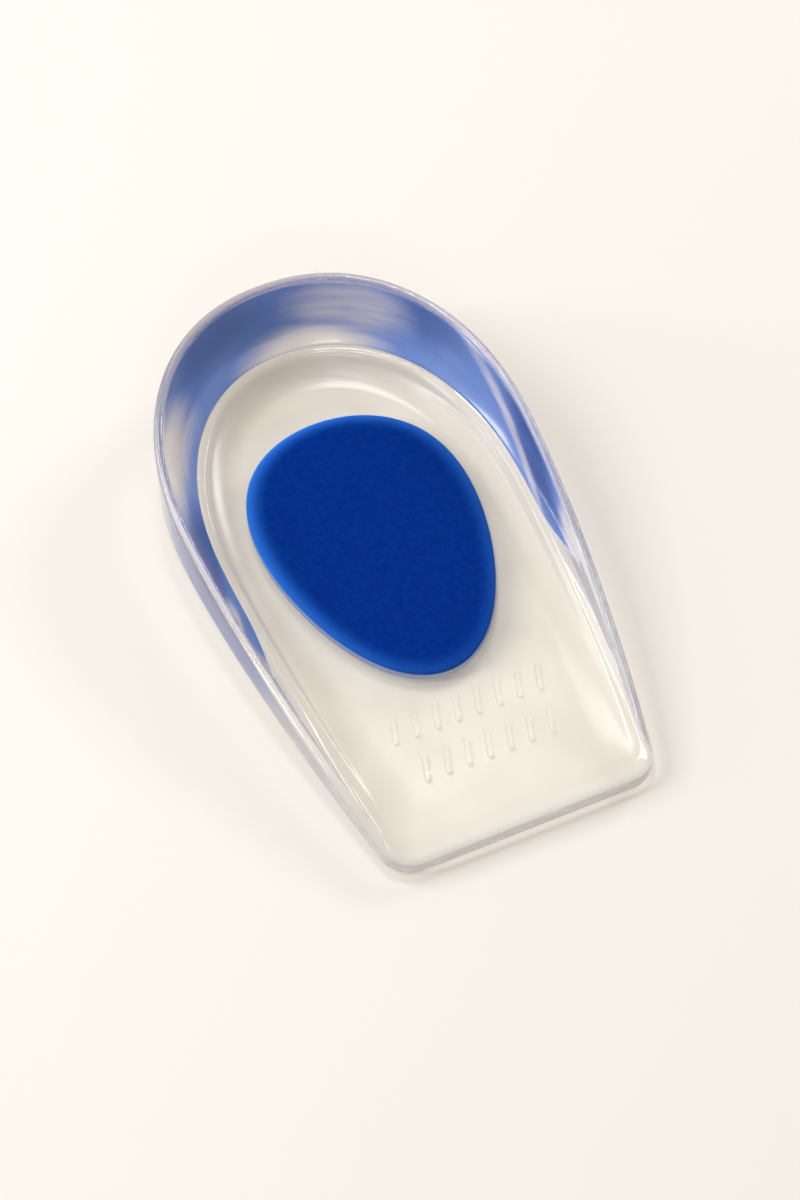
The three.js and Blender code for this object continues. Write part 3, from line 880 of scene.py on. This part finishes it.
def blue_lining():
    """Translucent blue gel, thinning out at its tips, with darker blue patches and pale patches of painted
    reflection whose edges are streaky.
    """
    material, nodes = new_material("translucent blue gel")
    gel = gel_surface(nodes, roughness_low=0.3, roughness_high=0.42, cloud_size=0.02)
    streaks = lining_streaks(nodes)
    fullness = nodes.attribute("fullness")
    strength = nodes.ramp(fullness, 0.02, 0.6)
    blue = nodes.mix(gel["Clouds"], *LINING_BLUES)
    blue = nodes.mix(nodes.attribute("deep"), blue, LINING_DEEP)
    uneven = nodes.math("MULTIPLY_ADD", streaks, STREAK_STRENGTH, -STREAK_STRENGTH / 2)
    # The pale patches are painted reflections and highlights, streaky at their edges
    pale = nodes.attribute("pale")
    not_pale = nodes.math("SUBTRACT", 1.0, pale)
    at_edges = nodes.math("MULTIPLY", nodes.math("MULTIPLY", pale, not_pale), 4.0)
    streaky = nodes.math("MULTIPLY_ADD", uneven, at_edges, pale, clamp=True)
    blue = nodes.mix(streaky, blue, LINING_REFLECTION_CREAM)
    colour = nodes.mix(strength, LINING_THIN, blue)
    surface = nodes.add("ShaderNodeBsdfPrincipled", {
        "Base Color": colour,
        "Roughness": gel["Roughness"],
        "Normal": gel["Normal"],
        "IOR": GEL_IOR,
        "Transmission Weight": 0.35,
        "Coat Weight": 0.6,
        "Coat Roughness": 0.1,
    })
    let_light_through(nodes, surface, SHADE_LINING)
    return material


def blue_pad():
    """Opaque royal blue soft gel: a fine satin grain, mottled, and a painted highlight where its edge turns
    over.
    """
    material, nodes = new_material("opaque blue soft gel")
    place = nodes.add("ShaderNodeTexCoord").outputs["Object"]
    grain = nodes.add("ShaderNodeTexNoise", {"Vector": place, "Scale": 1500.0, "Detail": 3.0})
    mottle = nodes.add("ShaderNodeTexNoise", {"Vector": place, "Scale": 800.0, "Detail": 3.0})
    uneven = nodes.math("MULTIPLY_ADD", grain.outputs["Fac"], 0.8, mottle.outputs["Fac"])
    shade = nodes.ramp(uneven, 0.7, 1.1)
    blue = nodes.mix(shade, *PAD_BLUES)
    # Painted highlight on the pad's edge
    colour = nodes.mix(nodes.attribute("pad_edge_highlight"), blue, PAD_EDGE_HIGHLIGHT_BLUE)
    bump = nodes.add("ShaderNodeBump", {
        "Height": uneven,
        "Distance": 0.00008,
        "Strength": 0.7,
    })
    surface = nodes.add("ShaderNodeBsdfPrincipled", {
        "Base Color": colour,
        "Roughness": 0.62,
        "Normal": bump.outputs["Normal"],
        "IOR": 1.4,
        "Specular IOR Level": 0.02,
        "Sheen Weight": 0.03,
        "Sheen Tint": (0.25, 0.5, 1.0, 1),
    })
    nodes.add("ShaderNodeOutputMaterial", {"Surface": surface.outputs[0]})
    return material


def finish_piece(piece, material, node):
    """Give a piece its material, and let it ride the one body in place of its node."""
    piece.data.materials.append(material)
    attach(piece, "root")
    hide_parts(node)


finish_piece(make_cup(), clear_gel(), "cup")
finish_piece(make_lining(), blue_lining(), "wall_lining")
pad = make_pad()
finish_piece(pad, blue_pad(), "heel_pad")


# Floor, light and camera, in metres, with the lens and its sensor in millimetres

FLOOR_SIZE = 3.0
FLOOR_BELOW = 0.00015
FLOOR_COLOUR = (0.86, 0.82, 0.77, 1)
WORLD_COLOUR = (1.0, 0.96, 0.9, 1)
WORLD_STRENGTH = 0.185
WARM_WHITE = (1.0, 0.985, 0.965)
SOFT_WHITE = (1.0, 0.99, 0.985)
CAMERA_AZIMUTH = math.radians(-24.2)
CAMERA_ELEVATION = math.radians(55.5)
CAMERA_TARGET = Vector((0, -12.6, 5)) * MM
CAMERA_DISTANCE = 0.4832
CAMERA_LENS = 85
CAMERA_SENSOR_HEIGHT = 36
CAMERA_SHIFT = (-0.0174, 0.0134)
CAMERA_CLIP_START = 0.01


def direction(azimuth, elevation):
    """Unit vector towards an azimuth, 0 in front at -Y and growing towards +X, and an elevation."""
    level = math.cos(elevation)
    return Vector((math.sin(azimuth) * level, -math.cos(azimuth) * level, math.sin(elevation)))


def make_floor():
    """A wide sheet of matt pale paper, a hair below the cup."""
    mesh = bpy.data.meshes.new("studio_floor")
    half = FLOOR_SIZE / 2
    corners = [(-half, -half), (half, -half), (half, half), (-half, half)]
    mesh.from_pydata([(x, y, -FLOOR_BELOW) for x, y in corners], [], [(0, 1, 2, 3)])
    floor = bpy.data.objects.new("studio_floor", mesh)
    bpy.context.scene.collection.objects.link(floor)
    material, nodes = new_material("matt pale paper")
    surface = nodes.add("ShaderNodeBsdfPrincipled", {
        "Base Color": FLOOR_COLOUR,
        "Roughness": 0.9,
        "Specular IOR Level": 0.1,
    })
    nodes.add("ShaderNodeOutputMaterial", {"Surface": surface.outputs[0]})
    mesh.materials.append(material)


def make_light(name, towards, distance, size, power, colour=(1, 1, 1), turn=0):
    """A soft light towards an azimuth and an elevation, aimed at the cup and turned about its own aim."""
    data = bpy.data.lights.new(name, "AREA")
    data.shape = "RECTANGLE"
    data.size, data.size_y = size
    data.energy = power
    data.color = colour
    light = bpy.data.objects.new(name, data)
    place = direction(*np.radians(towards))
    light.location = place * distance
    aim = place.to_track_quat("Z", "Y")
    light.rotation_euler = (aim @ Quaternion((0, 0, 1), math.radians(turn))).to_euler()
    bpy.context.scene.collection.objects.link(light)


def make_world():
    """An even, slightly warm light from all round."""
    world = bpy.data.worlds.new("studio")
    world.use_nodes = True
    background = world.node_tree.nodes["Background"]
    background.inputs["Color"].default_value = WORLD_COLOUR
    background.inputs["Strength"].default_value = WORLD_STRENGTH
    bpy.context.scene.world = world


def make_camera():
    """The camera of the photograph, from the front left and above."""
    data = bpy.data.cameras.new("camera")
    data.lens = CAMERA_LENS
    data.sensor_fit = "VERTICAL"
    data.sensor_height = CAMERA_SENSOR_HEIGHT
    data.shift_x, data.shift_y = CAMERA_SHIFT
    data.clip_start = CAMERA_CLIP_START
    camera = bpy.data.objects.new("camera", data)
    back = direction(CAMERA_AZIMUTH, CAMERA_ELEVATION)
    camera.location = CAMERA_TARGET + back * CAMERA_DISTANCE
    camera.rotation_euler = back.to_track_quat("Z", "Y").to_euler()
    bpy.context.scene.collection.objects.link(camera)
    bpy.context.scene.camera = camera


make_floor()
make_light("soft key", towards=(-138, 50), distance=1.8, size=(1, 1), power=8.6, colour=WARM_WHITE)
make_light("overhead softbox", towards=(0, 90), distance=1.2, size=(0.9, 0.9), power=0.6, colour=SOFT_WHITE)
make_light("left strip", towards=(-112, 16), distance=0.9, size=(0.42, 0.05), power=1.3, turn=40)
make_light("tall left strip", towards=(-101, 42), distance=0.9, size=(0.1, 0.5), power=2.4)
make_light("rim strip", towards=(-134, 34), distance=0.9, size=(0.4, 0.05), power=0.9)
make_light("back softbox", towards=(171, 72), distance=1.0, size=(0.24, 0.3), power=2.4)
make_light("right strip", towards=(110, 27), distance=0.9, size=(0.36, 0.16), power=2.2)
make_light("front strip", towards=(-16, 36), distance=0.9, size=(0.3, 0.03), power=0.6)
make_light("overhead strip", towards=(-64, 80), distance=1.0, size=(0.3, 0.05), power=0.6)
make_world()
make_camera()
bpy.context.scene.view_settings.view_transform = "Standard"
